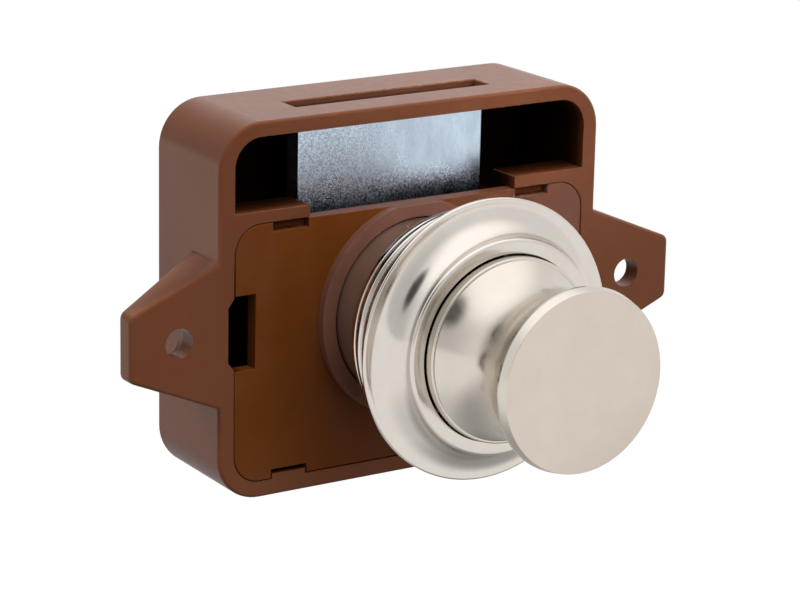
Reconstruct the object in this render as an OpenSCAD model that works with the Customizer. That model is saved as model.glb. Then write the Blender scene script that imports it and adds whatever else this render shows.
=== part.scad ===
// Push button cabinet lock for a furniture door.
// Pressing the knob drives a flat steel bolt up through the top of the housing; pressing again lets it back.
// Frame: X to the right, Y from the mounting face into the cabinet, Z up, millimetres.
// The origin is where the button axis meets the mounting face, midway between the two ear holes.
// Turned parts are drawn as [radius, distance out of the mounting face], so "out" counts along -Y.

/* [Housing] */
// Width of the housing between its side faces
housing_w = 51.5; // [49:0.5:60]
// Height of the top face above the button axis
housing_top = 24.15; // [23.5:0.05:28]
// Distance of the bottom face below the button axis
housing_bottom = 19.85; // [19:0.05:24]
// Depth from the mounting face to the back
housing_d = 15; // [14:0.1:17]
// Radius of the four outer corners
housing_corner_r = 5.4; // [4:0.1:7]
// Taper of each side wall from front to back
side_draft = 0.4; // [0.1:0.1:0.8]
// Thickness of the side walls
side_wall = 2; // [1.6:0.1:2.6]
// Thickness of the top wall
top_wall = 1.75; // [1.4:0.05:2.4]
// Thickness of the bottom wall
bottom_wall = 1.95; // [1.5:0.05:2.6]
// Thickness of the back wall
back_wall = 1.6; // [1.2:0.1:2.2]
// Radius of the four inner corners
cavity_corner_r = 3.4; // [2:0.1:4.5]

/* [Window above the cover] */
// Height of the open window under the top wall
window_h = 8.5; // [7:0.1:9]
// Height of the two shelves between window and cover
shelf_h = 1.4; // [1:0.1:2]
// Depth of the two shelves
shelf_d = 4.5; // [3:0.1:4.8]
// Clear width between the two shelves
shelf_gap = 28; // [27:0.5:34]

/* [Ears] */
// Distance from ear tip to ear tip
ear_span = 74; // [72:0.5:84]
// Distance between the two screw holes
hole_span = 61.6; // [60:0.1:64]
// Diameter of the screw holes
ear_hole_d = 3.5; // [3:0.1:4.5]
// Height of an ear at its tip
ear_tip_h = 7.5; // [6:0.1:10]
// Height of an ear where it leaves the housing
ear_root_h = 17; // [13:0.5:22]
// Thickness of an ear at its tip
ear_tip_t = 2.6; // [2.2:0.1:3.4]
// Thickness of an ear where it leaves the housing
ear_root_t = 6.5; // [5.5:0.1:8]
// Radius of an ear's tip corners
ear_tip_r = 1; // [0.4:0.1:2]
// Thickness left under a screw head
ear_web = 2.3; // [1.6:0.1:2.5]
// Diameter of the pocket for a screw head
counterbore_d = 7; // [6:0.1:8]

/* [Front cover] */
// Thickness of the cover plate
cover_t = 1.8; // [1.4:0.1:2.4]
// Gap round the edge of the cover
cover_gap = 0.1; // [0.05:0.05:0.2]
// Distance of the four edge notches from the middle
notch_x = 14.1; // [13:0.1:16]
// Width of an edge notch
notch_w = 4.7; // [3:0.1:5.5]
// Depth of an edge notch into the cover's edge
notch_h = 1.05; // [0.6:0.05:1.6]
// Height of the housing's tab in a lower notch
tab_h = 0.6; // [0.3:0.05:0.8]
// How far the housing's tab in an upper notch lies behind the mounting face
tab_inset = 0.9; // [0.5:0.05:1.2]
// Width of the snap window at each side of the cover
snap_w = 2.65; // [2:0.05:4]
// Height of the snap window
snap_h = 8.8; // [7:0.1:9.5]
// Depth of the snap pocket into the side wall
snap_pocket = 0.8; // [0.4:0.05:1]
// Height of the snap pocket at its bottom
snap_pocket_h = 6.4; // [4:0.1:6.8]
// Diameter of the collar, which fits a 26 mm hole in the door
collar_d = 25.5; // [25:0.1:27]
// How far the collar stands out of the mounting face
collar_out = 1.1; // [0.5:0.1:2]
// Width of a snap leg's hook beyond the leg
hook_reach = 0.75; // [0.5:0.05:0.8]

/* [Bolt] */
// Width of the bolt
bolt_w = 25.2; // [24:0.1:25.8]
// Thickness of the bolt
bolt_t = 2.5; // [2:0.1:2.8]
// Distance of the bolt's front face behind the mounting face
bolt_front = 5.1; // [4.9:0.1:6]
// How far the retracted bolt lies under the housing's top face
bolt_drop = 1.25; // [0.8:0.05:1.7]
// Width of a bolt leg
leg_w = 3; // [2.4:0.1:3.2]
// Gap under the bolt's legs
leg_gap = 1.9; // [1:0.1:3]
// Height of a drive lug
lug_h = 2; // [1.4:0.1:2.4]
// Reach of a drive lug inwards from its leg
lug_reach = 4.6; // [3:0.1:4.7]
// Distance of a drive lug's middle below the axis at rest
lug_drop = 4.4; // [3.6:0.1:4.6]
// Bolt travel for each unit that the button is pressed
throw_ratio = 1.25; // [1:0.05:1.3]
// Gap between the bolt and the guides beside it
bolt_side_gap = 0.5; // [0.2:0.05:0.6]
// Gap between the bolt and what lies before and behind it
bolt_face_gap = 0.3; // [0.15:0.05:0.5]
// Width of the guide block at each side of the bolt
guide_w = 4.4; // [2.5:0.1:6]
// Distance of the guides' upper end below the shelves
guide_drop = 2.5; // [1:0.1:4]

/* [Plunger] */
// Diameter of the plunger
stem_d = 18.4; // [17.5:0.1:18.6]
// Half width of the core between the two drive grooves
core_half = 4.8; // [4.4:0.05:4.9]
// Clearance round a drive lug in its groove
groove_gap = 0.2; // [0.1:0.05:0.3]
// Distance of the track flat below the axis
track_flat = 8; // [7.6:0.1:8.4]
// Depth of the latch track in the flat
track_depth = 1.2; // [0.8:0.1:1.6]
// Width of a lug that stops the plunger at the collar
stop_lug_w = 2.5; // [1.5:0.1:3.5]
// Gap that is left behind the fully pressed plunger
end_gap = 0.2; // [0.1:0.05:0.5]
// Diameter of the spring bore
spring_bore_d = 7.5; // [7.3:0.1:8]
// Depth of the knob's boss in the plunger
boss_d_in = 3; // [2:0.1:4]
// Thickness of the web under the knob's boss
screw_web = 2.6; // [1.8:0.1:4]

/* [Threaded sleeve] */
// Wall of the sleeve
sleeve_wall = 1.5; // [1.2:0.1:1.9]
// Radial gap between the sleeve and the collar's thread
thread_gap = 0.15; // [0.05:0.05:0.25]
// Pitch of the sleeve's thread
thread_pitch = 1.5; // [1:0.25:2]
// Turns that the rosette can be screwed in
adjust_turns = 2; // [1:0.5:2.5]

/* [Rosette] */
// Diameter of the rosette
rosette_d = 32.7; // [30:0.1:36]
// Gap for the door between the mounting face and the back ring
panel_t = 8.2; // [7.5:0.1:9]
// Thickness of the back ring
back_ring_t = 0.8; // [0.5:0.1:1]
// Width of the back ring, from the rosette's hub to its edge
back_ring_w = 1.2; // [0.9:0.1:1.6]
// Distance of the rosette's front rim from the mounting face
rosette_rim_out = 15.5; // [15:0.1:16.5]
// Distance of the rosette's lip from the mounting face
rosette_lip_out = 19.1; // [18.5:0.1:20]
// Width of the lip's flat face
lip_w = 1.3; // [0.8:0.1:1.8]
// Height of the step that the sleeve's front end meets
seat_step = 0.2; // [0.1:0.05:0.4]
// Wall of the rosette's hub
hub_wall = 1.3; // [0.8:0.1:1.6]
// Length of the sleeve inside the rosette's hub
hub_grip = 4.2; // [3.8:0.1:5]
// Depth of the groove between the back ring and the bead
edge_groove = 0.5; // [0.2:0.05:0.7]
// Width of the groove, and of the bead in front of it
bead_w = 0.9; // [0.6:0.1:1.2]
// Height of the bead over the back ring's edge
bead_h = 0.6; // [0.3:0.1:0.9]
// Height of the rosette's rim
rim_h = 0.5; // [0.4:0.1:1]

/* [Knob] */
// Distance of the knob's flat face from the mounting face
knob_out = 34; // [32.5:0.1:38]
// Diameter of the knob's head
head_d = 20.9; // [18:0.1:21.2]
// Thickness of the head's rim
head_rim = 1.5; // [1:0.1:2.2]
// Taper of the rim towards the face
head_bevel = 0.25; // [0.1:0.05:0.5]
// Diameter of the knob's waist
waist_d = 15.9; // [13:0.1:17]
// Gap between the knob's base and the rosette's lip
base_gap = 0.2; // [0.15:0.05:0.6]
// Distance of the base's rear face from the mounting face
base_out = 19.1; // [18.8:0.1:19.4]
// Length of the straight base
base_len = 1.3; // [0.8:0.1:2]
// Diameter of the boss that seats in the plunger
knob_boss_d = 10; // [8:0.1:12]

/* [Knob screw] */
// Diameter of the screw's thread
screw_d = 3; // [2.5:0.1:3.2]
// Diameter of the screw's head
screw_head_d = 5.4; // [4.8:0.1:5.6]
// Height of the screw's head
screw_head_h = 1.8; // [1.4:0.1:2.4]
// Length of thread in the knob
screw_grip = 5.5; // [4:0.1:7]
// Thickness of the washer under the head
washer_t = 0.6; // [0.4:0.1:1]

/* [Return spring] */
// Diameter of the spring's wire
spring_wire = 0.6; // [0.4:0.05:0.7]
// Diameter of the coil at the middle of the wire
spring_mean_d = 6.4; // [6.2:0.1:6.7]
// Number of turns
spring_turns = 11; // [7:1:14]
// Diameter of the peg that centres the spring on the back wall
peg_d = 5; // [3:0.1:5.2]
// Length of that peg
peg_len = 3; // [2:0.1:6]

/* [Push-push latch] */
// Diameter of the latch wire
latch_wire_d = 0.9; // [0.7:0.05:1]
// Angle that the wire swings over the full press, in degrees
latch_angle = 13.75; // [8:0.25:15]
// Distance of the wire's pivot from the back wall
pivot_inset = 0.8; // [0.7:0.05:1]
// Length of the wire's leg in its pivot boss
pivot_leg = 3.4; // [2.5:0.1:4]
// Thickness of the leaf spring
leaf_t = 0.3; // [0.2:0.05:0.4]
// Width of the leaf spring
leaf_w = 4; // [3:0.1:5]

/* [Hidden] */
$fn = 96;

// Clearances and overlaps that no other size sets
cut = 1;            // how far a cut runs past the face that it opens
sink = 0.6;         // how far a rib is sunk into the wall that carries it
fit_gap = 0.05;     // gap round a part that is fixed in its seat
slip_gap = 0.1;     // gap between parts that turn or rest against each other
run_gap = 0.15;     // radial gap between the plunger and the sleeve
stop_gap = 0.2;     // gap at the stops
curve_steps = 12;   // straight steps in a drawn curve

// Housing cavity
half_w = housing_w / 2;
cavity_x = half_w - side_wall;
cavity_top = housing_top - top_wall;
cavity_bottom = -housing_bottom + bottom_wall;
back_in = housing_d - back_wall;
shelf_top = cavity_top - window_h;
shelf_bottom = shelf_top - shelf_h;

// Ears
ear_tip_x = ear_span / 2;
hole_x = hole_span / 2;

// Bolt and its guides
bolt_x = bolt_w / 2;
bolt_rear = bolt_front + bolt_t;
bolt_top = housing_top - bolt_drop;
leg_in = bolt_x - leg_w;
guide_in = bolt_x + bolt_side_gap;
guide_out = guide_in + guide_w;
slot_x = guide_in + slip_gap;
slot_front = bolt_front - bolt_face_gap - run_gap;
slot_rear = bolt_rear + bolt_face_gap;

// Button travel: the plunger ends in the middle of the bolt and stops short of the back wall
stem_r = stem_d / 2;
plunger_rear = bolt_front + bolt_t / 2 - fit_gap;
press_travel = back_in - end_gap - plunger_rear;

// Collar, sleeve and rosette
collar_r = collar_d / 2;
collar_rear = bolt_front - bolt_face_gap;
sleeve_bore_r = stem_r + run_gap;
sleeve_r = sleeve_bore_r + sleeve_wall;
collar_bore_r = sleeve_r + thread_gap;
adjust_travel = thread_pitch * adjust_turns;
sleeve_rear = collar_rear - adjust_travel;
sleeve_front_out = base_out - press_travel - 2 * run_gap;
rosette_r = rosette_d / 2;
rosette_bore_r = sleeve_r + thread_gap;
hub_r = rosette_bore_r + hub_wall;
hub_rear_out = sleeve_front_out - hub_grip;
back_ring_r = hub_r + back_ring_w;
back_ring_front_out = panel_t + back_ring_t;
rosette_rear_out = back_ring_front_out + slip_gap;
lip_bore_r = rosette_bore_r - seat_step;
lip_r = lip_bore_r + lip_w;
seat_out = sleeve_front_out + fit_gap;

// Knob, screw and spring seat
head_r = head_d / 2;
waist_r = waist_d / 2;
base_r = lip_bore_r - base_gap;
boss_r = knob_boss_d / 2;
boss_end_out = base_out - boss_d_in;
spring_seat_out = boss_end_out - screw_web;
spring_front = -spring_seat_out + washer_t;

// Latch wire: its tip rides in the track under the plunger
tip_inset = 0.7;
arm_drop = 1.2;
lane_gap = 0.2;
boss_wall = 0.8;
wire_r = latch_wire_d / 2;
tip_y = plunger_rear - tip_inset;
pivot_y = back_in - pivot_inset;
arm_len = pivot_y - tip_y;
arm_z = -track_flat - arm_drop;
tip_top_z = -track_flat + track_depth - stop_gap;
pivot_bottom_z = arm_z - pivot_leg;
lane_end_x = arm_len * sin(latch_angle);
lane_end_y = pivot_y - arm_len * cos(latch_angle) - press_travel;
lane_r = wire_r + lane_gap;
flat_front = lane_end_y - lane_r - boss_wall;

// Leaf spring on the floor and the rails that hold it
rail_w = 1;
rail_lip = 0.6;
rail_setback = 1.5;
leaf_base_front = collar_rear + stop_gap + leaf_t;
leaf_base_rear = pivot_y - wire_r - boss_wall - leaf_t;
rail_front = leaf_base_front + rail_setback;
leaf_touch_y = (tip_y + pivot_y) / 2;

// Snap legs and ledges of the cover, by their distance from the axis
cover_x = cavity_x - cover_gap;
snap_leg_h = 3;
snap_leg_t = 1.2;
snap_leg_len = 4;
snap_leg_bar = 0.9;
snap_leg_z = snap_h / 2 + snap_leg_bar + snap_leg_h / 2;
snap_leg_x = cover_x - 2 * run_gap;
snap_leg_end = cover_t + snap_leg_len;
hook_len = 1.2;
ledge_h = 2.4;
ledge_w = 1.8;
ledge_bar = 0.9;
ledge_z = snap_leg_z + snap_leg_h / 2 + ledge_bar + ledge_h / 2;

// General shapes

module block(x0, x1, y0, y1, z0, z1) {
    translate([x0, y0, z0]) cube([x1 - x0, y1 - y0, z1 - z0]);
}

// Extrudes a front view, drawn as [X, Z], from depth y0 to depth y1
module slab(y0, y1) {
    translate([0, y1, 0]) rotate([90, 0, 0]) linear_extrude(y1 - y0) children();
}

// Extrudes a side view, drawn as [Y, Z], from x0 to x1
module side_slab(x0, x1) {
    translate([x0, 0, 0]) rotate([90, 0, 90]) linear_extrude(x1 - x0) children();
}

// Turns a profile, drawn as [radius, distance out], about the button axis
module turned() {
    rotate([90, 0, 0]) rotate_extrude() children();
}

// A rod along the button axis between two distances out
module axial_rod(r, out0, out1) {
    rotate([90, 0, 0]) translate([0, 0, out0]) cylinder(r = r, h = out1 - out0);
}

module both_sides() {
    children();
    mirror([1, 0, 0]) children();
}

module both_heights() {
    children();
    mirror([0, 0, 1]) children();
}

module rounded_rect(x0, z0, x1, z1, r) {
    translate([x0 + r, z0]) square([x1 - x0 - 2 * r, z1 - z0]);
    translate([x0, z0 + r]) square([x1 - x0, z1 - z0 - 2 * r]);
    for (x = [x0 + r, x1 - r], z = [z0 + r, z1 - r])
        translate([x, z]) circle(r);
}

// A straight lane with round ends between two points of a plan view
module lane(a, b, r) {
    along = b - a;
    translate(a) circle(r);
    translate(b) circle(r);
    translate(a) rotate(atan2(along.y, along.x)) translate([0, -r]) square([norm(along), 2 * r]);
}

function unit(v) = v / norm(v);

// Points of an arc of radius r that rounds the corner b between a and c
function corner_arc(a, b, c, r) =
    let (u = unit(a - b), v = unit(c - b), half = acos(u * v) / 2, centre = b + unit(u + v) * r / sin(half),
        from = b + u * r / tan(half) - centre, to = b + v * r / tan(half) - centre,
        start = atan2(from.y, from.x), turn = atan2(from.x * to.y - from.y * to.x, from * to))
    [for (i = [0:curve_steps]) let (angle = start + turn * i / curve_steps)
        centre + r * [cos(angle), sin(angle)]];

// Housing

// Side walls and round corners lean inwards together towards the back
module tapered_case() {
    lean = atan(side_draft / housing_d);
    corner_x = half_w - housing_corner_r / cos(lean);
    height = housing_bottom + housing_top;
    intersection() {
        block(-half_w, half_w, 0, housing_d, -housing_bottom, housing_top);
        union() {
            lean_prism(corner_x, -housing_bottom, height);
            lean_prism(half_w, housing_corner_r - housing_bottom, height - 2 * housing_corner_r);
            both_sides() for (z = [housing_corner_r - housing_bottom, housing_top - housing_corner_r])
                translate([corner_x, 0, z]) rotate([0, 0, lean])
                    axial_rod(housing_corner_r, -housing_d - cut, cut);
        }
    }
}

// A prism as wide as the case at its front, less the taper at its back
module lean_prism(x, z, height) {
    back_x = x - side_draft;
    translate([0, 0, z]) linear_extrude(height)
        polygon([[-x, 0], [x, 0], [back_x, housing_d], [-back_x, housing_d]]);
}

module ear() {
    root_x = half_w - side_wall / 2;
    root_z = ear_root_h / 2;
    tip = [ear_tip_x, ear_tip_h / 2];
    tip_low = [ear_tip_x, -ear_tip_h / 2];
    shoulder = [half_w, root_z];
    shoulder_low = [half_w, -root_z];
    intersection() {
        slab(0, ear_root_t) polygon(concat(
            [[root_x, root_z], [root_x, -root_z], shoulder_low],
            corner_arc(shoulder_low, tip_low, tip, ear_tip_r),
            corner_arc(tip_low, tip, shoulder, ear_tip_r),
            [shoulder]));
        translate([0, 0, -ear_root_h]) linear_extrude(2 * ear_root_h) polygon([
            [root_x, 0], [ear_tip_x, 0], [ear_tip_x, ear_tip_t],
            [half_w, ear_root_t], [root_x, ear_root_t]]);
    }
}

module ear_hole() {
    translate([hole_x, 0, 0]) {
        axial_rod(ear_hole_d / 2, -ear_root_t - cut, cut);
        axial_rod(counterbore_d / 2, -ear_root_t - cut, -ear_web);
    }
}

// Pocket in the side wall beside the cover's snap window
module snap_pocket() {
    slab(-cut, snap_leg_end) polygon([
        [cavity_x - slip_gap, -snap_h / 2], [cavity_x + snap_pocket, -snap_pocket_h / 2],
        [cavity_x + snap_pocket, snap_pocket_h / 2], [cavity_x - slip_gap, snap_h / 2]]);
}

// Pocket in the side wall that a snap leg's hook catches in
module hook_pocket() {
    block(cavity_x - slip_gap, snap_leg_x + hook_reach + stop_gap,
        snap_leg_end - hook_len - stop_gap, snap_leg_end + stop_gap,
        snap_leg_z - snap_leg_h / 2 - stop_gap, snap_leg_z + snap_leg_h / 2 + stop_gap);
}

module shelf() {
    block(shelf_gap / 2, cavity_x + sink, 0, shelf_d, shelf_bottom, shelf_top);
}

// Guide beside the bolt and rib behind the bolt's leg, both hidden by the cover
module bolt_guide() {
    floor_z = cavity_bottom - sink;
    guide_top = shelf_bottom - guide_drop;
    block(guide_in, guide_out, bolt_front - slip_gap, back_in + sink, floor_z, guide_top);
    block(leg_in + stop_gap, guide_in + sink, slot_rear, back_in + sink, floor_z, guide_top);
}

// Rounds the upper corner of the opening that the cover fills
module opening_corner() {
    r = cavity_corner_r;
    slab(0, shelf_d) difference() {
        translate([cavity_x - r, shelf_bottom - r]) square(r + sink);
        translate([cavity_x - r, shelf_bottom - r]) circle(r);
    }
}

// Tabs of the housing that stand in the cover's edge notches
module notch_tabs() {
    tab_x0 = notch_x + run_gap;
    tab_x1 = notch_x + notch_w - run_gap;
    block(tab_x0, tab_x1, 0, cover_t, cavity_bottom - sink, cavity_bottom + tab_h);
    block(tab_x0, tab_x1, tab_inset, cover_t,
        shelf_bottom - cover_gap - notch_h + run_gap, shelf_bottom + sink);
}

module cover_ledge() {
    block(cavity_x - ledge_w, cavity_x + sink, cover_t, back_in + sink,
        ledge_z - ledge_h / 2, ledge_z + ledge_h / 2);
}

module pivot_boss() {
    half = wire_r + slip_gap + boss_wall;
    block(-half, half, pivot_y - half, back_in + sink,
        pivot_bottom_z - stop_gap, arm_z - wire_r - slip_gap);
}

// Rail that holds one edge of the leaf spring on the floor
module leaf_rail() {
    rail_x = leaf_w / 2 + slip_gap;
    rail_top = cavity_bottom + leaf_t + slip_gap + rail_lip;
    block(rail_x, rail_x + rail_w, rail_front, leaf_base_rear, cavity_bottom - sink, rail_top);
    block(rail_x - rail_lip, rail_x + rail_w, rail_front, leaf_base_rear,
        cavity_bottom + leaf_t + slip_gap, rail_top);
}

module housing() {
    color("#7a4a38") difference() {
        union() {
            difference() {
                union() {
                    tapered_case();
                    both_sides() ear();
                }
                slab(-cut, back_in)
                    rounded_rect(-cavity_x, cavity_bottom, cavity_x, cavity_top, cavity_corner_r);
            }
            both_sides() shelf();
            both_sides() opening_corner();
            both_sides() bolt_guide();
            both_sides() notch_tabs();
            both_sides() both_heights() cover_ledge();
            both_sides() leaf_rail();
            pivot_boss();
            axial_rod(peg_d / 2, -back_in - sink, -back_in + peg_len);
        }
        block(-slot_x, slot_x, slot_front, slot_rear, cavity_top - cut, housing_top + cut);
        both_sides() ear_hole();
        both_sides() snap_pocket();
        both_sides() both_heights() hook_pocket();
        translate([0, pivot_y, pivot_bottom_z - stop_gap - cut])
            cylinder(r = wire_r + slip_gap, h = pivot_leg + 2 * cut);
    }
}

// Front cover

module snap_leg() {
    low = snap_leg_z - snap_leg_h / 2;
    block(snap_leg_x - snap_leg_t, snap_leg_x, cover_t - sink, snap_leg_end, low, low + snap_leg_h);
    translate([0, 0, low]) linear_extrude(snap_leg_h) polygon([
        [snap_leg_x - sink, snap_leg_end - hook_len],
        [snap_leg_x + hook_reach, snap_leg_end - hook_len],
        [snap_leg_x - sink, snap_leg_end]]);
}

module edge_notches() {
    deep = cover_gap + notch_h;
    both_sides() for (z0 = [shelf_bottom - deep, cavity_bottom])
        block(notch_x, notch_x + notch_w, -cut, cover_t + cut, z0, z0 + deep);
}

// The collar is cut flat at the cover's upper edge and relieved behind it, clear of the window
module front_cover() {
    cover_top = shelf_bottom - cover_gap;
    color("#5f3a2a") difference() {
        union() {
            slab(0, cover_t) rounded_rect(-cover_x, cavity_bottom + cover_gap, cover_x,
                cover_top, cavity_corner_r - cover_gap);
            axial_rod(collar_r, -collar_rear, collar_out);
            both_sides() both_heights() snap_leg();
        }
        axial_rod(collar_bore_r, -collar_rear - cut, collar_out + cut);
        block(-collar_r, collar_r, -collar_out - cut, collar_rear + cut, cover_top, collar_r + cut);
        block(-collar_r, collar_r, cover_t, collar_rear + cut, stem_r, collar_r + cut);
        edge_notches();
        both_sides() block(cover_x - snap_w, cover_x + cut, -cut, cover_t + cut, -snap_h / 2, snap_h / 2);
    }
}

// Sleeve and rosette

module threaded_sleeve() {
    color("#46322a") difference() {
        axial_rod(sleeve_r, -sleeve_rear, sleeve_front_out);
        axial_rod(sleeve_bore_r, -sleeve_rear - cut, sleeve_front_out + cut);
    }
}

// A flange that widens to the rim behind, hollow in front, on a beaded neck
module rosette() {
    rear = rosette_rear_out;
    groove_r = back_ring_r - edge_groove;
    bead_r = back_ring_r + bead_h;
    bead_rear = rear + bead_w;
    bead_front = bead_rear + bead_w;
    flange_r = bead_r - bead_h / 2;
    lip_round = 0.4;
    rim_chamfer = 0.2;
    foot_r = rosette_r - rim_chamfer;
    // The front sweeps up from the rim to the lip in a hollow curve
    sweep = [for (i = [0:curve_steps]) let (angle = 90 * i / curve_steps)
        [foot_r - (foot_r - lip_r - lip_round) * sin(angle),
         rosette_rim_out + (rosette_lip_out - lip_round - rosette_rim_out) * (1 - cos(angle))]];
    color("#d3c8bc") turned() polygon(concat(
        [[rosette_bore_r, hub_rear_out], [hub_r, hub_rear_out], [hub_r, rear], [groove_r, rear],
         [groove_r, bead_rear], [bead_r, bead_rear], [bead_r, bead_front], [flange_r, bead_front],
         [rosette_r, rosette_rim_out - rim_h], [rosette_r, rosette_rim_out - rim_chamfer]],
        sweep,
        [[lip_r, rosette_lip_out], [lip_bore_r, rosette_lip_out], [lip_bore_r, seat_out],
         [rosette_bore_r, seat_out]]));
}

module rosette_back_ring() {
    color("#c9c0b4") difference() {
        axial_rod(back_ring_r, panel_t, back_ring_front_out);
        axial_rod(hub_r + run_gap, panel_t - cut, back_ring_front_out + cut);
    }
}

// Button: knob, plunger and the screw that joins them

module knob() {
    rim_rear = knob_out - head_rim;
    rim_band = 0.35;
    hollow_start = base_out + base_len;
    edge_step = 0.1;
    // Hollow arc from the base's edge to the head's, deepest at the waist
    half = (rim_rear - hollow_start) / 2;
    rise = head_r - edge_step - waist_r;
    arc_r = (half * half + rise * rise) / (2 * rise);
    hollow = [for (i = [0:2 * curve_steps]) let (away = half * (i / curve_steps - 1))
        [waist_r + arc_r - sqrt(arc_r * arc_r - away * away), hollow_start + half + away]];
    color("#d3c6ba") difference() {
        turned() polygon(concat(
            [[0, boss_end_out], [boss_r, boss_end_out], [boss_r, base_out], [base_r, base_out],
             [base_r, hollow_start - edge_step]],
            hollow,
            [[head_r, rim_rear], [head_r, rim_rear + rim_band], [head_r - head_bevel, knob_out],
             [0, knob_out]]));
        axial_rod(screw_d / 2 + fit_gap, boss_end_out - cut, boss_end_out + screw_grip + fit_gap);
    }
}

module knob_screw() {
    head_out = spring_seat_out - washer_t;
    slot_half = 0.4;
    color("#b9bcc0") difference() {
        union() {
            axial_rod(screw_d / 2, head_out - sink, boss_end_out + screw_grip);
            axial_rod(screw_head_d / 2, head_out - screw_head_h, head_out);
        }
        for (turn = [0, 90]) rotate([0, turn, 0])
            block(-slot_half, slot_half, -head_out + screw_head_h / 2, -head_out + screw_head_h + cut,
                -screw_head_d / 4, screw_head_d / 4);
    }
}

module knob_washer() {
    color("#a9acb0") difference() {
        axial_rod(spring_bore_d / 2 - run_gap, spring_seat_out - washer_t, spring_seat_out);
        axial_rod(screw_d / 2 + run_gap, spring_seat_out - washer_t - cut, spring_seat_out + cut);
    }
}

// Space that a drive lug needs in the plunger from rest to the full press
module drive_groove() {
    low = [bolt_front - groove_gap, -lug_drop - lug_h / 2 - groove_gap];
    high = [bolt_rear + groove_gap, -lug_drop + lug_h / 2 + groove_gap];
    sweep = press_travel * [-1, throw_ratio];
    side_slab(core_half, stem_r + cut) polygon([
        [high.x, low.y], high, high + sweep, [low.x, high.y] + sweep, low + sweep, low]);
}

// Heart shaped track: the wire goes in along one lane and comes back along the other
module latch_track() {
    start = [0, tip_y];
    far = [lane_end_x, lane_end_y];
    far_left = [-lane_end_x, lane_end_y];
    translate([0, 0, -track_flat - cut]) linear_extrude(track_depth + cut) {
        lane(start, far, lane_r);
        lane(start, far_left, lane_r);
        lane(far, far_left, lane_r);
        lane(start, [0, plunger_rear + cut], lane_r);
    }
}

// Lug that stops the plunger against the collar
module stop_lug() {
    lug_in = core_half + stop_gap;
    block(lug_in, lug_in + stop_lug_w, collar_rear + stop_gap, plunger_rear,
        -collar_bore_r + stop_gap, -lug_drop - lug_h / 2 - groove_gap - stop_gap);
}

module plunger() {
    color("#2a2a2c") difference() {
        union() {
            difference() {
                axial_rod(stem_r, -plunger_rear, base_out);
                block(-stem_r, stem_r, flat_front, plunger_rear + cut, -stem_r - cut, -track_flat);
            }
            both_sides() stop_lug();
        }
        axial_rod(boss_r + fit_gap, boss_end_out - fit_gap, base_out + cut);
        axial_rod(screw_d / 2 + run_gap, spring_seat_out - cut, base_out);
        axial_rod(spring_bore_d / 2, -plunger_rear - cut, spring_seat_out);
        both_sides() drive_groove();
        latch_track();
    }
}

// Return spring: one wire wound as a helix, in rings of six points

wire_sides = 6;
rings_per_turn = 8;
ring_count = spring_turns * rings_per_turn + 1;
coil_r = spring_mean_d / 2;
coil_front = spring_front + spring_wire / 2 + fit_gap;
coil_rear = back_in - spring_wire / 2 - fit_gap;
coil_pitch = (coil_rear - coil_front) / spring_turns;
coil_gap = coil_pitch - spring_wire;
echo(least_gap_between_spring_turns = coil_gap);

function coil_point(i, k) =
    let (turn = 360 * i / rings_per_turn, side = 360 * k / wire_sides,
        r = coil_r + spring_wire / 2 * cos(side))
    [r * cos(turn),
     coil_front + coil_pitch * i / rings_per_turn + spring_wire / 2 * sin(side),
     r * sin(turn)];

module return_spring() {
    points = [for (i = [0:ring_count - 1], k = [0:wire_sides - 1]) coil_point(i, k)];
    walls = [for (i = [0:ring_count - 2], k = [0:wire_sides - 1])
        let (a = i * wire_sides + k, b = i * wire_sides + (k + 1) % wire_sides)
        each [[a, b, b + wire_sides], [a, b + wire_sides, a + wire_sides]]];
    last = (ring_count - 1) * wire_sides;
    caps = [for (k = [1:wire_sides - 2])
        each [[0, k + 1, k], [last, last + k, last + k + 1]]];
    color("#9a9da1") polyhedron(points, concat(walls, caps));
}

// Bolt: a stamped fork that straddles the plunger, with two lugs in the plunger's grooves

module both_sides_plan() {
    children();
    mirror([1, 0]) children();
}

module bolt_plate() {
    web_bottom = stem_r + sink;
    leg_bottom = cavity_bottom + leg_gap;
    color("#aebac6") slab(bolt_front, bolt_rear) {
        translate([-bolt_x, web_bottom]) square([bolt_w, bolt_top - web_bottom]);
        both_sides_plan() {
            translate([leg_in, leg_bottom]) square([leg_w, web_bottom - leg_bottom]);
            translate([leg_in - lug_reach, -lug_drop - lug_h / 2]) square([lug_reach, lug_h]);
        }
    }
}

// Latch: a bent wire in the track and the leaf that presses it up

module latch_wire() {
    color("#8d9094") {
        translate([0, tip_y, arm_z]) cylinder(r = wire_r, h = tip_top_z - arm_z);
        translate([0, tip_y, arm_z]) sphere(wire_r);
        translate([0, tip_y, arm_z]) rotate([-90, 0, 0]) cylinder(r = wire_r, h = arm_len);
        translate([0, pivot_y, arm_z]) sphere(wire_r);
        translate([0, pivot_y, pivot_bottom_z]) cylinder(r = wire_r, h = pivot_leg);
    }
}

module latch_leaf() {
    foot = [leaf_base_front, cavity_bottom + leaf_t / 2];
    touch = [leaf_touch_y, arm_z - wire_r - slip_gap - leaf_t / 2];
    color("#a4a7ab") side_slab(-leaf_w / 2, leaf_w / 2) {
        lane(foot, [leaf_base_rear, foot.y], leaf_t / 2);
        lane(foot, touch, leaf_t / 2);
    }
}

housing();
front_cover();
threaded_sleeve();
rosette();
rosette_back_ring();
knob();
knob_screw();
knob_washer();
plunger();
return_spring();
bolt_plate();
latch_wire();
latch_leaf();
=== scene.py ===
"""Looks of the push button cabinet lock: fine turned metal, softly rounded mouldings, zinc plated bolt.

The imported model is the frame. Lengths on the part are millimetres in that frame: X to the right,
Y from the mounting face into the cabinet, Z up. "Out" counts along -Y. The stage's lengths are metres.
"""

import math

import bmesh
import bpy
from mathutils import Matrix, Vector


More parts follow.
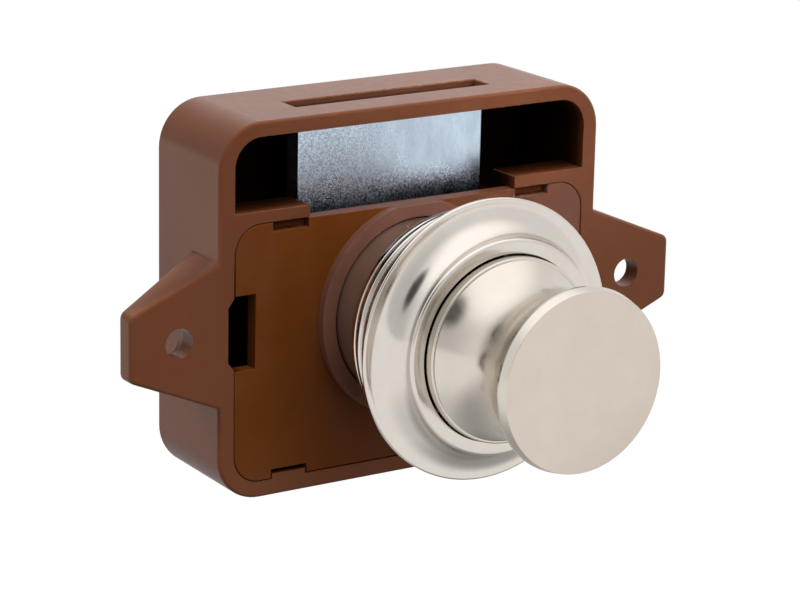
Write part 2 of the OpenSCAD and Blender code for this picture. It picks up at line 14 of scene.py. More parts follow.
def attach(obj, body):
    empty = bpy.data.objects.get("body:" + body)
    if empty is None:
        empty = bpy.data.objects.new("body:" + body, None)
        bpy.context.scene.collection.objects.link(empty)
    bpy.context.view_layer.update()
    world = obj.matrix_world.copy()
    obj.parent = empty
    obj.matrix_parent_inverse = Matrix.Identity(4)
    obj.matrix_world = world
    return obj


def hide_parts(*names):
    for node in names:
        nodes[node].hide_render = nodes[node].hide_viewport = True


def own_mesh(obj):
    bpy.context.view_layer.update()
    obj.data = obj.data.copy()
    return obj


MM = 0.001
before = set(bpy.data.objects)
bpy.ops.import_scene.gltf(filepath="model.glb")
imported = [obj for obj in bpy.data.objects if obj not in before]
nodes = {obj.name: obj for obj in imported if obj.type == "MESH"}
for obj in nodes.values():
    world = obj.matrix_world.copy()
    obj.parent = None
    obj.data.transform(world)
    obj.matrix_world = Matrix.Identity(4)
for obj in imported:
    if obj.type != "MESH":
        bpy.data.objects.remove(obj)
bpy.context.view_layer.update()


# Materials

# Most values of a noise lie between these
NOISE_LOW, NOISE_HIGH = 0.3, 0.7
# Marks per metre
FLOW_MARKS = 95
WAVES = 420
SHEEN_MARKS = 900
SPARK_GRAIN = 7000
TURNING_RINGS = 5200
ZINC_GRAIN = 5000
ZINC_CLOUDS = 700


def set_range(map_range, *values):
    """Sets a map range node's own values: from low, from high, to low, to high."""
    for key, value in zip(("From Min", "From Max", "To Min", "To Max"), values):
        map_range.inputs[key].default_value = value


class Graph:
    """A material's node tree with short helpers. Coordinates are the part's own, in metres."""

    def __init__(self, name):
        self.material = bpy.data.materials.new(name)
        self.material.use_nodes = True
        self.tree = self.material.node_tree
        self.shader = self.tree.nodes["Principled BSDF"]
        self.place = self.node("ShaderNodeTexCoord").outputs["Object"]

    def node(self, kind, **settings):
        made = self.tree.nodes.new(kind)
        for key, value in settings.items():
            setattr(made, key, value)
        return made

    def link(self, source, target):
        self.tree.links.new(source, target)

    def noise(self, scale, detail=3.0, roughness=0.5, stretch=None):
        """Noise of that many features per metre; stretch scales the three axes."""
        made = self.node("ShaderNodeTexNoise")
        made.inputs["Scale"].default_value = scale
        made.inputs["Detail"].default_value = detail
        made.inputs["Roughness"].default_value = roughness
        place = self.place
        if stretch:
            mapping = self.node("ShaderNodeMapping")
            mapping.inputs["Scale"].default_value = stretch
            self.link(place, mapping.inputs["Vector"])
            place = mapping.outputs["Vector"]
        self.link(place, made.inputs["Vector"])
        return made.outputs["Fac"]

    def ramp(self, source, stops):
        """Colours at positions from 0 to 1."""
        made = self.node("ShaderNodeValToRGB")
        elements = made.color_ramp.elements
        while len(elements) < len(stops):
            elements.new(0.5)
        for element, (position, colour) in zip(elements, stops):
            element.position = position
            element.color = (*colour, 1)
        self.link(source, made.inputs["Fac"])
        return made.outputs["Color"]

    def remap(self, source, low, high, to_low, to_high):
        made = self.node("ShaderNodeMapRange")
        set_range(made, low, high, to_low, to_high)
        self.link(source, made.inputs["Value"])
        return made.outputs["Result"]

    def spread(self, noise, to_low, to_high):
        """A noise's usual range, stretched to these values."""
        return self.remap(noise, NOISE_LOW, NOISE_HIGH, to_low, to_high)

    def mix(self, share, first, second):
        """From the first colour to the second, by share."""
        made = self.node("ShaderNodeMix", data_type="RGBA")
        socket = {s.identifier: s for s in made.inputs}
        for key, source in (("Factor_Float", share), ("A_Color", first), ("B_Color", second)):
            self.link(source, socket[key])
        return {s.identifier: s for s in made.outputs}["Result_Color"]

    def plain(self, colour):
        made = self.node("ShaderNodeRGB").outputs["Color"]
        made.default_value = (*colour, 1)
        return made

    def axis(self, name):
        parts = self.node("ShaderNodeSeparateXYZ")
        self.link(self.place, parts.inputs["Vector"])
        return parts.outputs[name]

    def bump(self, height, strength, distance_mm, under=None):
        """Relief; strength is a number or a link."""
        made = self.node("ShaderNodeBump")
        if hasattr(strength, "is_output"):
            self.link(strength, made.inputs["Strength"])
        else:
            made.inputs["Strength"].default_value = strength
        made.inputs["Distance"].default_value = distance_mm * MM
        self.link(height, made.inputs["Height"])
        if under:
            self.link(under, made.inputs["Normal"])
        return made.outputs["Normal"]

    def put(self, **sockets):
        """Links or sets the shader's sockets; names are written with _ for a space."""
        for key, value in sockets.items():
            target = self.shader.inputs[key.replace("_", " ")]
            if hasattr(value, "is_output"):
                self.link(value, target)
            else:
                target.default_value = value
        return self.material


def moulded_plastic(name, tones, rough, specular, tint, grain=0.12, painted_light=None):
    """Moulded plastic: slow flow marks in three tones, a fine spark-eroded grain and an uneven sheen.

    painted_light: (X from, X to, colour), in mm, for painted light: the colour grows lighter across the
    moulding.
    """
    g = Graph(name)
    flow = g.noise(FLOW_MARKS, 4, 0.55, (1, 1, 0.7))
    colour = g.ramp(flow, list(zip((0.36, 0.5, 0.64), tones)))
    # Painted light: towards a lighter colour across X
    if painted_light:
        left_mm, right_mm, lit_tone = painted_light
        across = g.remap(g.axis("X"), left_mm * MM, right_mm * MM, 0, 1)
        colour = g.mix(across, colour, g.plain(lit_tone))
    sheen = g.spread(g.noise(SHEEN_MARKS, 3), *rough)
    waves = g.bump(g.noise(WAVES, 2), 0.02, 0.1)
    normal = g.bump(g.noise(SPARK_GRAIN, 2), grain, 0.02, waves)
    return g.put(Base_Color=colour, Roughness=sheen, Normal=normal, IOR=1.6,
                 Specular_IOR_Level=specular, Specular_Tint=(*tint, 1))


def painted_shade_plastic(name, near, deep, near_mm, deep_mm):
    """The moulding's inside with painted shade: the colour darkens with the depth Y, as the cavity's
    shade deepens towards the back.
    """
    g = Graph(name)
    depth = g.remap(g.axis("Y"), near_mm * MM, deep_mm * MM, 0, 1)
    middle = tuple(a * 0.2 + b * 0.8 for a, b in zip(near, deep))
    colour = g.ramp(depth, [(0, near), (0.4, middle), (1, deep)])
    sheen = g.spread(g.noise(SHEEN_MARKS, 3), 0.5, 0.62)
    normal = g.bump(g.noise(SPARK_GRAIN, 2), 0.1, 0.02)
    return g.put(Base_Color=colour, Roughness=sheen, Normal=normal, Specular_IOR_Level=0.03)


def satin_metal(name, dark, light, rough, lines=0.06):
    """Turned and plated metal: faint rings about the button axis, cloudy sheen."""
    g = Graph(name)
    colour = g.ramp(g.noise(260, 4, 0.6), [(NOISE_LOW, dark), (NOISE_HIGH, light)])
    parts = g.node("ShaderNodeSeparateXYZ")
    g.link(g.place, parts.inputs["Vector"])
    flat = g.node("ShaderNodeCombineXYZ")
    g.link(parts.outputs["X"], flat.inputs["X"])
    g.link(parts.outputs["Z"], flat.inputs["Y"])
    radius = g.node("ShaderNodeVectorMath", operation="LENGTH")
    g.link(flat.outputs["Vector"], radius.inputs[0])
    around = g.node("ShaderNodeCombineXYZ")
    g.link(radius.outputs["Value"], around.inputs["X"])
    g.link(parts.outputs["Y"], around.inputs["Y"])
    rings = g.node("ShaderNodeTexNoise")
    rings.inputs["Scale"].default_value = TURNING_RINGS
    rings.inputs["Detail"].default_value = 2
    g.link(around.outputs["Vector"], rings.inputs["Vector"])
    sheen = g.spread(g.noise(1500, 3), *rough)
    normal = g.bump(rings.outputs["Fac"], lines, 0.004)
    return g.put(Base_Color=colour, Roughness=sheen, Normal=normal, Metallic=1.0)


# X between which the zinc's grain turns from coarse to fine
COARSE_X, FINE_X = -8, 3
# Z at which the painted shade band begins, is full, thins out again and ends
SHADE_BAND_Z = (10.5, 12, 12.9, 15.6)


def zinc_plate(name):
    """Zinc plated steel: a crystal grain, coarser to the left, and a band of painted shade low on the
    plate, above the cover's edge.
    """
    g = Graph(name)
    grain = g.noise(ZINC_GRAIN, 3, 0.75)
    clouds = g.noise(ZINC_CLOUDS, 3, 0.6, (1, 1, 0.4))
    crystals = [(0.36, (0.32, 0.38, 0.48)), (0.5, (0.58, 0.69, 0.84)), (0.64, (0.78, 0.90, 1.0))]
    # Painted shade: darker crystal colours for the band
    shaded_crystals = [(0.36, (0.08, 0.09, 0.14)), (0.5, (0.36, 0.40, 0.52)), (0.6, (0.85, 0.92, 1.0))]
    fine = g.ramp(clouds, [(0.35, (0.46, 0.55, 0.65)), (0.65, (0.57, 0.67, 0.78))])
    leftwards = g.remap(g.axis("X"), COARSE_X * MM, FINE_X * MM, 1, 0.1)
    unshaded = g.mix(leftwards, fine, g.ramp(grain, crystals))
    shaded_grain = g.ramp(grain, shaded_crystals)
    height = g.axis("Z")
    # The painted shade band across Z
    begins, full, thins, ends = (z * MM for z in SHADE_BAND_Z)
    above = g.remap(height, thins, ends, 1, 0)
    below = g.remap(height, begins, full, 0, 1)
    band = g.node("ShaderNodeMath", operation="MULTIPLY")
    g.link(above, band.inputs[0])
    g.link(below, band.inputs[1])
    colour = g.mix(band.outputs["Value"], unshaded, shaded_grain)
    sheen = g.spread(g.noise(170, 3), 0.24, 0.36)
    relief = g.remap(leftwards, 0, 1, 0.2, 0.8)
    normal = g.bump(grain, relief, 0.06, g.bump(clouds, 0.3, 0.08))
    return g.put(Base_Color=colour, Roughness=sheen, Normal=normal, Metallic=1.0)


def drawn_steel(name, dark, light):
    """Drawn or rolled spring steel with fine lengthwise streaks."""
    g = Graph(name)
    streaks = g.noise(2600, 3, 0.6, (1, 0.15, 1))
    colour = g.ramp(streaks, [(NOISE_LOW, dark), (NOISE_HIGH, light)])
    sheen = g.spread(streaks, 0.25, 0.42)
    return g.put(Base_Color=colour, Roughness=sheen, Normal=g.bump(streaks, 0.15, 0.01), Metallic=1.0)


WARM = (0.75, 0.22, 0.06)
NEUTRAL = (1, 1, 1)
BROWN = moulded_plastic("brown_plastic",
                        [(0.116, 0.040, 0.0195), (0.124, 0.044, 0.0225), (0.130, 0.0475, 0.0255)],
                        (0.29, 0.34), 0.5, WARM)
# Painted highlight: a lighter, more orange brown with a paler gloss, for roundings that catch the light
BROWN_PAINTED_HIGHLIGHT = moulded_plastic("brown_plastic_painted_highlight",
                             [(0.14, 0.048, 0.021), (0.155, 0.055, 0.025), (0.17, 0.063, 0.030)],
                             (0.24, 0.3), 0.6, (0.9, 0.55, 0.4))
# Painted light: the cover grows lighter to the right
COVER = moulded_plastic("cover_plastic",
                        [(0.118, 0.033, 0.005), (0.134, 0.038, 0.008), (0.140, 0.046, 0.018)],
                        (0.34, 0.44), 0.4, (0.3, 0.05, 0.0),
                        painted_light=(0, 23, (0.138, 0.060, 0.041)))
# Painted sheen: a paler, greyer copy of the cover's brown for the collar, standing in for the gloss it
# catches
COLLAR_PAINTED_SHEEN = moulded_plastic("collar_plastic_painted_sheen",
                         [(0.150, 0.065, 0.044), (0.168, 0.075, 0.054), (0.185, 0.085, 0.064)],
                         (0.28, 0.36), 0.5, WARM)
SLEEVE = moulded_plastic("sleeve_plastic",
                         [(0.125, 0.075, 0.055), (0.147, 0.088, 0.066), (0.166, 0.101, 0.077)],
                         (0.12, 0.18), 1.0, NEUTRAL, grain=0.02)
# Painted shade: brown at the front that darkens to near black deep in the cavity
INSIDE_PAINTED_SHADE = painted_shade_plastic("brown_plastic_painted_shade", near=(0.125, 0.036, 0.012), deep=(0.010, 0.0030, 0.0012),
                        near_mm=0.2, deep_mm=3.4)
BLACK = moulded_plastic("black_plastic",
                        [(0.012, 0.012, 0.013), (0.016, 0.016, 0.018), (0.022, 0.022, 0.024)],
                        (0.32, 0.44), 0.5, NEUTRAL)
NICKEL = satin_metal("satin_nickel", (0.625, 0.575, 0.508), (0.655, 0.605, 0.538), (0.17, 0.22))
NICKEL_FACE = satin_metal("satin_nickel_face", (0.615, 0.530, 0.462), (0.645, 0.560, 0.492), (0.12, 0.17))
NICKEL_RING = satin_metal("satin_nickel_ring", (0.640, 0.596, 0.545), (0.675, 0.632, 0.580), (0.12, 0.17))
ZINC = zinc_plate("zinc_steel")
STEEL = drawn_steel("spring_steel", (0.36, 0.37, 0.39), (0.55, 0.56, 0.58))


# Mesh tools


def new_piece(name, mesh, body, node):
    piece = bpy.data.objects.new(name, mesh)
    bpy.context.scene.collection.objects.link(piece)
    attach(piece, body)
    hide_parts(node)
    return piece


# Edges that turn by more than this stay sharp
TURNED_SHARP_DEG, MOULDED_SHARP_DEG = 40, 35


def smooth(mesh, sharp_deg):
    mesh.shade_smooth()
    mesh.set_sharp_from_angle(angle=math.radians(sharp_deg))


def filleted(points, steps=6):
    """Profile corners given as (radius, out, fillet) become arcs; those with no third value stay."""
    done = []
    count = len(points)
    for i, point in enumerate(points):
        here = Vector(point[:2])
        r = point[2] if len(point) > 2 else 0
        if not r:
            done.append(here)
            continue
        before = Vector(points[i - 1][:2]) - here
        after = Vector(points[(i + 1) % count][:2]) - here
        half = before.angle(after) / 2
        back = r / math.tan(half)
        start = here + before.normalized() * back
        end = here + after.normalized() * back
        middle = here + (before.normalized() + after.normalized()).normalized() * (r / math.sin(half))
        a, b = start - middle, end - middle
        turn = math.atan2(a.x * b.y - a.y * b.x, a.dot(b))
        for k in range(steps + 1):
            c, s = math.cos(turn * k / steps), math.sin(turn * k / steps)
            done.append(middle + Vector((a.x * c - a.y * s, a.x * s + a.y * c)))
    return done


def turned_mesh(name, profile, closed, segments=288):
    """Turns a profile of (radius, out) about the button axis; a point on the axis becomes one vertex."""
    bm = bmesh.new()
    rings = []
    for r, out in profile:
        if r < 1e-6:
            rings.append([bm.verts.new((0, -out * MM, 0))])
            continue
        ring = []
        for k in range(segments):
            a = 2 * math.pi * k / segments
            ring.append(bm.verts.new((r * math.cos(a) * MM, -out * MM, r * math.sin(a) * MM)))
        rings.append(ring)
    pairs = list(zip(rings, rings[1:])) + ([(rings[-1], rings[0])] if closed else [])
    for first, second in pairs:
        for k in range(segments):
            n = (k + 1) % segments
            corners = [first[k % len(first)], first[n % len(first)]]
            corners += [second[n % len(second)], second[k % len(second)]]
            bm.faces.new(list(dict.fromkeys(corners)))
    bmesh.ops.recalc_face_normals(bm, faces=bm.faces)
    mesh = bpy.data.meshes.new(name)
    bm.to_mesh(mesh)
    bm.free()
    return mesh


def turned_piece(name, profile, body, node, material, closed=True):
    mesh = turned_mesh(name, profile, closed)
    smooth(mesh, TURNED_SHARP_DEG)
    mesh.materials.append(material)
    return new_piece(name, mesh, body, node)


# Points of a moulding nearer to each other than this are merged
SLIVER = 0.02
# Neighbouring faces that turn by less than this become one, and edges that turn by more can be rounded
FLAT_DEG, EDGE_DEG = 0.5, 30
ROUNDING_STEPS = 4
# Roundings wider than this stop where they would run into each other
CLAMPED_WIDTH = 0.2


def rounded_copy(name, node, body, materials, rules, paint=None):
    """A copy of a CAD node with its convex edges rounded.

    rules: (test of the edge's middle in mm, width in mm, index of the rounding's material).
    paint: gives a face's material index from its middle in mm and its normal.
    """
    bm = bmesh.new()
    bm.from_mesh(nodes[node].data)
    bmesh.ops.remove_doubles(bm, verts=bm.verts, dist=SLIVER * MM)
    bmesh.ops.dissolve_limit(bm, angle_limit=math.radians(FLAT_DEG), verts=bm.verts, edges=bm.edges)
    if paint:
        for face in bm.faces:
            face.material_index = paint(face.calc_center_median() / MM, face.normal)
    for test, width, index in rules:
        chosen = [e for e in bm.edges if e.is_manifold and e.is_convex
                  and e.calc_face_angle() > math.radians(EDGE_DEG)
                  and test((e.verts[0].co + e.verts[1].co) / 2 / MM)]
        bmesh.ops.bevel(bm, geom=chosen, offset=width * MM, offset_type="OFFSET", segments=ROUNDING_STEPS,
                        profile=0.5, affect="EDGES", clamp_overlap=width > CLAMPED_WIDTH, material=index,
                        loop_slide=True)
    mesh = bpy.data.meshes.new(name)
    bm.to_mesh(mesh)
    bm.free()
    smooth(mesh, MOULDED_SHARP_DEG)
    for material in materials:
        mesh.materials.append(material)
    piece = new_piece(name, mesh, body, node)
    flat = piece.modifiers.new("flat_faces", "WEIGHTED_NORMAL")
    flat.keep_sharp = True
    return piece


def wound_mesh(name, path, wire_r, sides=14):
    """Sweeps a round wire along a path about the button axis, with closed ends."""
    bm = bmesh.new()
    rings = []
    for i, point in enumerate(path):
        along = (path[min(i + 1, len(path) - 1)] - path[max(i - 1, 0)]).normalized()
        outward = Vector((point.x, 0, point.z)).normalized()
        outward = (outward - along * outward.dot(along)).normalized()
        across = along.cross(outward)
        ring = []
        for k in range(sides):
            a = 2 * math.pi * k / sides
            away = outward * math.cos(a) + across * math.sin(a)
            ring.append(bm.verts.new((point + away * wire_r) * MM))
        rings.append(ring)
    for first, second in zip(rings, rings[1:]):
        for k in range(sides):
            n = (k + 1) % sides
            bm.faces.new((first[k], first[n], second[n], second[k]))
    bm.faces.new(rings[0])
    bm.faces.new(rings[-1])
    bmesh.ops.recalc_face_normals(bm, faces=bm.faces)
    mesh = bpy.data.meshes.new(name)
    bm.to_mesh(mesh)
    bm.free()
    return mesh


# Turned pieces

CURVE_STEPS = 48
# The knob: bore for the screw, spigot that stands in the plunger, straight base, hollow waist, head, face
SCREW_BORE_R, SCREW_BORE_OUT = 1.55, 21.65
SPIGOT_R, SPIGOT_OUT = 5.0, 16.1
BASE_R, BASE_OUT = 10.69, 19.1
WAIST_R = 8.15
HOLLOW_R, HOLLOW_OUT = 10.35, (20.4, 32.5)
HEAD_R, HEAD_OUT = 10.45, 32.85
FACE_R, FACE_OUT = 10.2, 34.0
# Faces within this of the knob's front belong to its face
FACE_SKIN = 0.01
# Inner and outer radius, and rear and front end
BACK_RING_R, BACK_RING_OUT = (12.45, 13.5), (8.2, 9.0)
SLEEVE_R, SLEEVE_OUT = (9.35, 10.85), (-1.8, 11.9)


def tube_profile(radii, ends, inner_fillet, outer_fillet):
    inner, outer = radii
    rear, front = ends
    return filleted([(inner, rear, inner_fillet), (outer, rear, outer_fillet),
                     (outer, front, outer_fillet), (inner, front, inner_fillet)])


def knob_profile():
    """A spool: its waist is one arc between the base and the head."""
    low, high = HOLLOW_OUT
    middle, half = (low + high) / 2, (high - low) / 2
    rise = HOLLOW_R - WAIST_R
    arc_r = (half * half + rise * rise) / (2 * rise)
    hollow = []
    for i in range(CURVE_STEPS + 1):
        away = half * (2 * i / CURVE_STEPS - 1)
        hollow.append((WAIST_R + arc_r - math.sqrt(arc_r * arc_r - away * away), middle + away))
    inside = [(0, SCREW_BORE_OUT), (SCREW_BORE_R, SCREW_BORE_OUT), (SCREW_BORE_R, SPIGOT_OUT),
              (SPIGOT_R, SPIGOT_OUT), (SPIGOT_R, BASE_OUT)]
    base = [(BASE_R, BASE_OUT, 0.12), (BASE_R, low, 0.22)]
    head = [(HEAD_R, high, 0.04), (HEAD_R, HEAD_OUT, 0.12), (FACE_R, FACE_OUT, 0.04), (0, FACE_OUT)]
    return filleted(inside + base + hollow + head)


def rosette_profile():
    """A hub round the sleeve, a beaded neck, a flange with a rim, and a hollow sweep up to the lip."""
    lip_bore, thread, hub = 10.8, 11.0, 12.3
    hub_rear, thread_front = 7.7, 11.95
    rear, bead_rear, bead_front = 9.1, 10.0, 10.9
    groove, bead, flange, outer = 13.0, 14.1, 13.8, 16.35
    rim_out = 15.5
    foot = (15.7, 15.46)
    lip_out, roll = 19.1, 0.4
    top = (12.5, lip_out - roll)
    sweep = []
    for i in range(CURVE_STEPS + 1):
        a = math.pi / 2 * i / CURVE_STEPS
        r = foot[0] - (foot[0] - top[0]) * math.sin(a)
        sweep.append((r, foot[1] + (top[1] - foot[1]) * (1 - math.cos(a))))
    back = [(thread, hub_rear), (hub, hub_rear), (hub, rear)]
    neck = [(groove, rear), (groove, bead_rear, 0.15), (bead, bead_rear, 0.3), (bead, bead_front, 0.3),
            (flange, bead_front, 0.08)]
    rim = [(outer, rim_out - 0.5, 0.2), (outer, rim_out, 0.25), (15.8, rim_out - 0.02, 0.05)]
    lip = [(top[0], lip_out, roll - 0.001), (lip_bore, lip_out, 0.12), (lip_bore, thread_front),
           (thread, thread_front)]
    return filleted(back + neck + rim + sweep + lip)


knob = turned_piece("knob_turned", knob_profile(), "button", "knob", NICKEL, closed=False)
knob.data.materials.append(NICKEL_FACE)
for polygon in knob.data.polygons:
    polygon.material_index = int(polygon.center.y < (FACE_SKIN - FACE_OUT) * MM)
turned_piece("rosette_turned", rosette_profile(), "rosette", "rosette", NICKEL_RING)
turned_piece("back_ring_turned", tube_profile(BACK_RING_R, BACK_RING_OUT, 0.05, 0.2),
             "back_ring", "rosette_back_ring", NICKEL_RING)
turned_piece("sleeve_turned", tube_profile(SLEEVE_R, SLEEVE_OUT, 0.1, 0.3),
             "rosette", "threaded_sleeve", SLEEVE)


# Return spring: closed end turns and open turns between them

COIL_R, WIRE_R = 3.2, 0.3
COIL_Y = (-12.55, 13.05)
TURNS, STEPS_PER_TURN = 11, 28
# Between an end turn's wire and the next turn
END_GAP = 0.03


def spring_path():
    closed = 2 * WIRE_R + END_GAP
    rise = (COIL_Y[1] - COIL_Y[0] - 2 * closed) / (TURNS - 2)
    path = []
    for i in range(TURNS * STEPS_PER_TURN + 1):
        t = i / STEPS_PER_TURN
        if t < 1:
            y = COIL_Y[0] + closed * t
        elif t < TURNS - 1:
            y = COIL_Y[0] + closed + rise * (t - 1)
        else:
            y = COIL_Y[1] - closed * (TURNS - t)
        a = 2 * math.pi * t
        path.append(Vector((COIL_R * math.cos(a), y, COIL_R * math.sin(a))))
    return path


spring_mesh = wound_mesh("spring_wound", spring_path(), WIRE_R)
smooth(spring_mesh, TURNED_SHARP_DEG)
spring_mesh.materials.append(STEEL)
spring = new_piece("spring_wound", spring_mesh, "case", "return_spring")
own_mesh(spring)


# Mouldings and the bolt

# Half width, bottom and top of the space inside the case
CAVITY = (23.8, -17.95, 22.45)
# Y between the front and the back wall, where the cavity's own walls lie; faces there get painted shade
CAVITY_Y = (0.3, 14.9)
# Middle of a screw hole, and the reach of its edges in front and on the ear's back
HOLE_X = 30.8
HOLE_FRONT_R, HOLE_BACK_R = 2.5, 3.6
# Edges this near to a face lie on it
TOUCH = 0.05
# Edges of the mounting face beyond one of these are on its outline
RIM_X, RIM_TOP, RIM_BOTTOM, RIM_R = 25.5, 24, -19.7, 27
EAR_X = 25.7
BACK_Y = 14.95
# Lower end of the window with its shelves, and how far in their front edges reach
WINDOW_Z, WINDOW_Y = 12.45, 4.4
SLOT_X, SLOT_Y, SLOT_Z = 14, (4, 9), 24.1
# Indices of a moulding's materials: skin, painted highlight and painted shade
SKIN, PAINTED_HIGHLIGHT, PAINTED_SHADE = 0, 1, 2


def in_cavity(p):
    half, low, high = CAVITY
    return abs(p.x) < half and low < p.z < high


# The cavity's own walls get painted shade
def housing_paint(p, _normal):
    near, deep = CAVITY_Y
    return PAINTED_SHADE if in_cavity(p) and near < p.y < deep else SKIN


def on_front(p):
    return p.y < TOUCH


def near_hole(p, r):
    return math.hypot(abs(p.x) - HOLE_X, p.z) < r


def on_rim(p):
    """Outer edges of the mounting face."""
    outline = abs(p.x) > RIM_X or p.z > RIM_TOP or p.z < RIM_BOTTOM or math.hypot(p.x, p.z) > RIM_R
    return on_front(p) and outline and not in_cavity(p) and not near_hole(p, HOLE_FRONT_R)


def on_back_or_ear(p):
    return p.y > TOUCH and (p.y > BACK_Y or abs(p.x) > EAR_X) and not near_hole(p, HOLE_BACK_R)


def on_window(p):
    """Front edges of the window and of the two shelves, and the shelves' ends."""
    return p.y < WINDOW_Y and in_cavity(p) and WINDOW_Z < p.z


def on_slot(p):
    near, deep = SLOT_Y
    return p.z > SLOT_Z and abs(p.x) < SLOT_X and near < p.y < deep


def on_seam(p):
    return on_front(p) and in_cavity(p) and p.z < WINDOW_Z


rounded_copy("housing_moulding", "housing", "case", [BROWN, BROWN_PAINTED_HIGHLIGHT, INSIDE_PAINTED_SHADE], [
    (on_rim, 0.42, SKIN),
    (on_back_or_ear, 0.5, SKIN),
    # The slot's and the window's roundings get the painted highlight
    (on_slot, 0.15, PAINTED_HIGHLIGHT),
    (on_window, 0.25, PAINTED_HIGHLIGHT),
    (on_seam, 0.08, SKIN),
], housing_paint)

# The collar's front edges lie further out than this
COLLAR_OUT = 1.05
# Its bore's edge lies within the first radius, its outer edge beyond the second;
# the plate's edges lie beyond the third
COLLAR_BORE_R, COLLAR_R, COLLAR_FOOT_R = 11.5, 12, 12.9
# Below the flat at the collar's top
COLLAR_FLAT_Z = 12
# Second material of the cover, on the collar: painted sheen
RAISED = 1


def on_collar(p):
    """Round outer edge of the collar, without the flat at its top."""
    return p.y < -COLLAR_OUT and math.hypot(p.x, p.z) > COLLAR_R and p.z < COLLAR_FLAT_Z


def on_collar_bore(p):
    return p.y < -COLLAR_OUT and math.hypot(p.x, p.z) < COLLAR_BORE_R


def on_cover_edge(p):
    return abs(p.y) < TOUCH and math.hypot(p.x, p.z) > COLLAR_FOOT_R


def cover_paint(p, normal):
    # The collar's faces get the painted sheen
    if p.y < -TOUCH:
        return RAISED
    # Back faces, which look into the case, get painted shade
    faces_in = normal.y > 0.5
    return PAINTED_SHADE if faces_in else SKIN


rounded_copy("cover_moulding", "front_cover", "case", [COVER, COLLAR_PAINTED_SHEEN, INSIDE_PAINTED_SHADE], [
    (on_collar, 0.3, RAISED),
    (on_collar_bore, 0.15, RAISED),
    (on_cover_edge, 0.1, SKIN),
], cover_paint)

rounded_copy("bolt_pressed", "bolt_plate", "bolt", [ZINC], [(lambda p: True, 0.2, SKIN)])

for node, material in (("plunger", BLACK), ("knob_screw", ZINC), ("knob_washer", ZINC),
                       ("latch_wire", STEEL), ("latch_leaf", STEEL)):
    nodes[node].data.materials.clear()
    nodes[node].data.materials.append(material)


# Stage: floor, light and camera

FLOOR_SIZE, FLOOR_Z = 8, -0.16


def plane(name, size, height, material):
    mesh = bpy.data.meshes.new(name)
    h = size / 2
    corners = [(-h, -h, height), (h, -h, height), (h, h, height), (-h, h, height)]
    mesh.from_pydata(corners, [], [(0, 1, 2, 3)])
    made = bpy.data.objects.new(name, mesh)
    made.data.materials.append(material)
    bpy.context.scene.collection.objects.link(made)
    return made


paper = Graph("pale_floor")
paper.put(Base_Color=(0.1, 0.1, 0.1, 1), Roughness=0.9, Specular_IOR_Level=0.1,
          Emission_Color=(1, 1, 1, 1), Emission_Strength=0.88)
floor = plane("floor", FLOOR_SIZE, FLOOR_Z, paper.material)
floor.visible_diffuse = False
floor.visible_glossy = False


def heading(left_deg, up_deg):
    """Direction, in degrees to the left of straight out of the knob's face and above the horizon."""
    a, e = math.radians(left_deg), math.radians(up_deg)
    return (-math.sin(a) * math.cos(e), -math.cos(a) * math.cos(e), math.sin(e))


class Studio:
    """A light tent as the world. A level is a brightness, multiplied by lobes round directions."""

    def __init__(self):
        self.world = bpy.data.worlds.new("studio")
        bpy.context.scene.world = self.world
        self.world.use_nodes = True
        self.world.cycles.sampling_method = "NONE"
        self.tree = self.world.node_tree
        self.direction = self.tree.nodes.new("ShaderNodeTexCoord").outputs["Generated"]
        self.ray = self.tree.nodes.new("ShaderNodeLightPath").outputs

    def fade(self, source, low, high, to_low, to_high):
        made = self.tree.nodes.new("ShaderNodeMapRange")
        made.interpolation_type = "SMOOTHSTEP"
        set_range(made, low, high, to_low, to_high)
        self.tree.links.new(source, made.inputs["Value"])
        return made.outputs["Result"]

    def along(self, towards):
        dot = self.tree.nodes.new("ShaderNodeVectorMath")
        dot.operation = "DOT_PRODUCT"
        self.tree.links.new(self.direction, dot.inputs[0])
        dot.inputs[1].default_value = towards
        return dot.outputs["Value"]

    def level(self, strength, lobes):
        start = self.tree.nodes.new("ShaderNodeValue").outputs["Value"]
        start.default_value = strength
        for towards, inner_deg, outer_deg, factor in lobes:
            outer, inner = math.cos(math.radians(outer_deg)), math.cos(math.radians(inner_deg))
            times = self.tree.nodes.new("ShaderNodeMath")
            times.operation = "MULTIPLY"
            self.tree.links.new(start, times.inputs[0])
            self.tree.links.new(self.fade(self.along(towards), outer, inner, 1, factor), times.inputs[1])
            start = times.outputs["Value"]
        return start

    def mix(self, share, first, second):
        made = self.tree.nodes.new("ShaderNodeMix")
        socket = {s.identifier: s for s in made.inputs}
        for key, value in (("Factor_Float", share), ("A_Float", first), ("B_Float", second)):
            self.tree.links.new(value, socket[key])
        return {s.identifier: s for s in made.outputs}["Result_Float"]

    def light(self, level):
        background = self.tree.nodes["Background"]
        background.inputs["Color"].default_value = (1, 1, 1, 1)
        self.tree.links.new(level, background.inputs["Strength"])


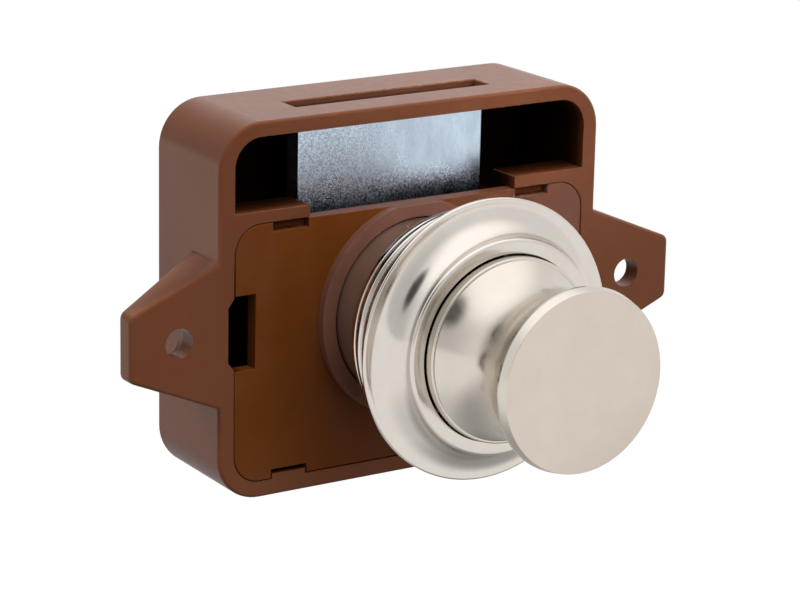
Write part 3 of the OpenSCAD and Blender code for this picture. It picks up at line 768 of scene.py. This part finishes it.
UP, DOWN = heading(0, 90), heading(0, -90)
studio = Studio()
mirrored_sky = studio.level(0.95, [
    (UP, 20, 62, 1.6),
    (heading(45, 5), 25, 75, 0.72),
    (heading(60, 37), 8, 22, 0.10),
    (heading(165, 8), 15, 42, 0.35),
])
mirrored_ground = studio.level(1.05, [
    (DOWN, 10, 60, 0.72),
    (heading(-78, -50), 15, 45, 0.5),
    (heading(180, -50), 20, 55, 0.55),
])
lit = studio.level(0.95, [(UP, 20, 62, 1.6), (heading(45, 5), 25, 75, 0.38), (DOWN, 72, 93, 0.12)])
white = studio.level(1, [])
horizon = studio.fade(studio.along(UP), -0.03, -0.01, 0, 1)
seen = studio.mix(studio.ray["Is Glossy Ray"], lit, studio.mix(horizon, mirrored_ground, mirrored_sky))
studio.light(studio.mix(studio.ray["Is Camera Ray"], seen, white))


def softbox(name, towards, distance, size, power, aim_mm=(0, 0, 0), spread_deg=180):
    """An area light that the metal doesn't mirror, aimed at a point of the part."""
    data = bpy.data.lights.new(name, "AREA")
    data.size = size
    data.energy = power
    data.spread = math.radians(spread_deg)
    made = bpy.data.objects.new(name, data)
    away = Vector(towards) * distance
    made.location = Vector(aim_mm) * MM + away
    made.rotation_euler = (-away).to_track_quat("-Z", "Y").to_euler()
    made.visible_glossy = False
    bpy.context.scene.collection.objects.link(made)


softbox("top_softbox", heading(0, 52), distance=0.9, size=0.6, power=4.8)
softbox("left_softbox", heading(100, 20), distance=0.9, size=0.5, power=1.4)
softbox("corner_softbox", heading(-25, 30), distance=0.3, size=0.03, power=0.0028,
        aim_mm=(15, 0, 23), spread_deg=9)
bpy.context.scene.view_settings.view_transform = "Standard"

# The camera was solved from the photograph's straight edges and circles
CAMERA_TURN_DEG = (33.129, 15.899, 1.158)
CAMERA_OFFSET_MM = Vector((1.414, 376.86, -0.792))
FOCAL_PX, IMAGE_W = 3252.3, 800
SENSOR_MM = 36

yaw, pitch, roll = (math.radians(a) for a in CAMERA_TURN_DEG)
turn = Matrix.Rotation(roll, 3, "Y") @ Matrix.Rotation(pitch, 3, "X") @ Matrix.Rotation(yaw, 3, "Z")
right, forward, up = turn.row[0], turn.row[1], turn.row[2]
camera_data = bpy.data.cameras.new("camera")
camera_data.sensor_width = SENSOR_MM
camera_data.lens = FOCAL_PX * SENSOR_MM / IMAGE_W
camera_data.clip_start, camera_data.clip_end = 0.01, 100
camera = bpy.data.objects.new("camera", camera_data)
axes = Matrix((right, up, -forward)).transposed().to_4x4()
camera.matrix_world = Matrix.Translation(turn.transposed() @ -CAMERA_OFFSET_MM * MM) @ axes
bpy.context.scene.collection.objects.link(camera)
bpy.context.scene.camera = camera
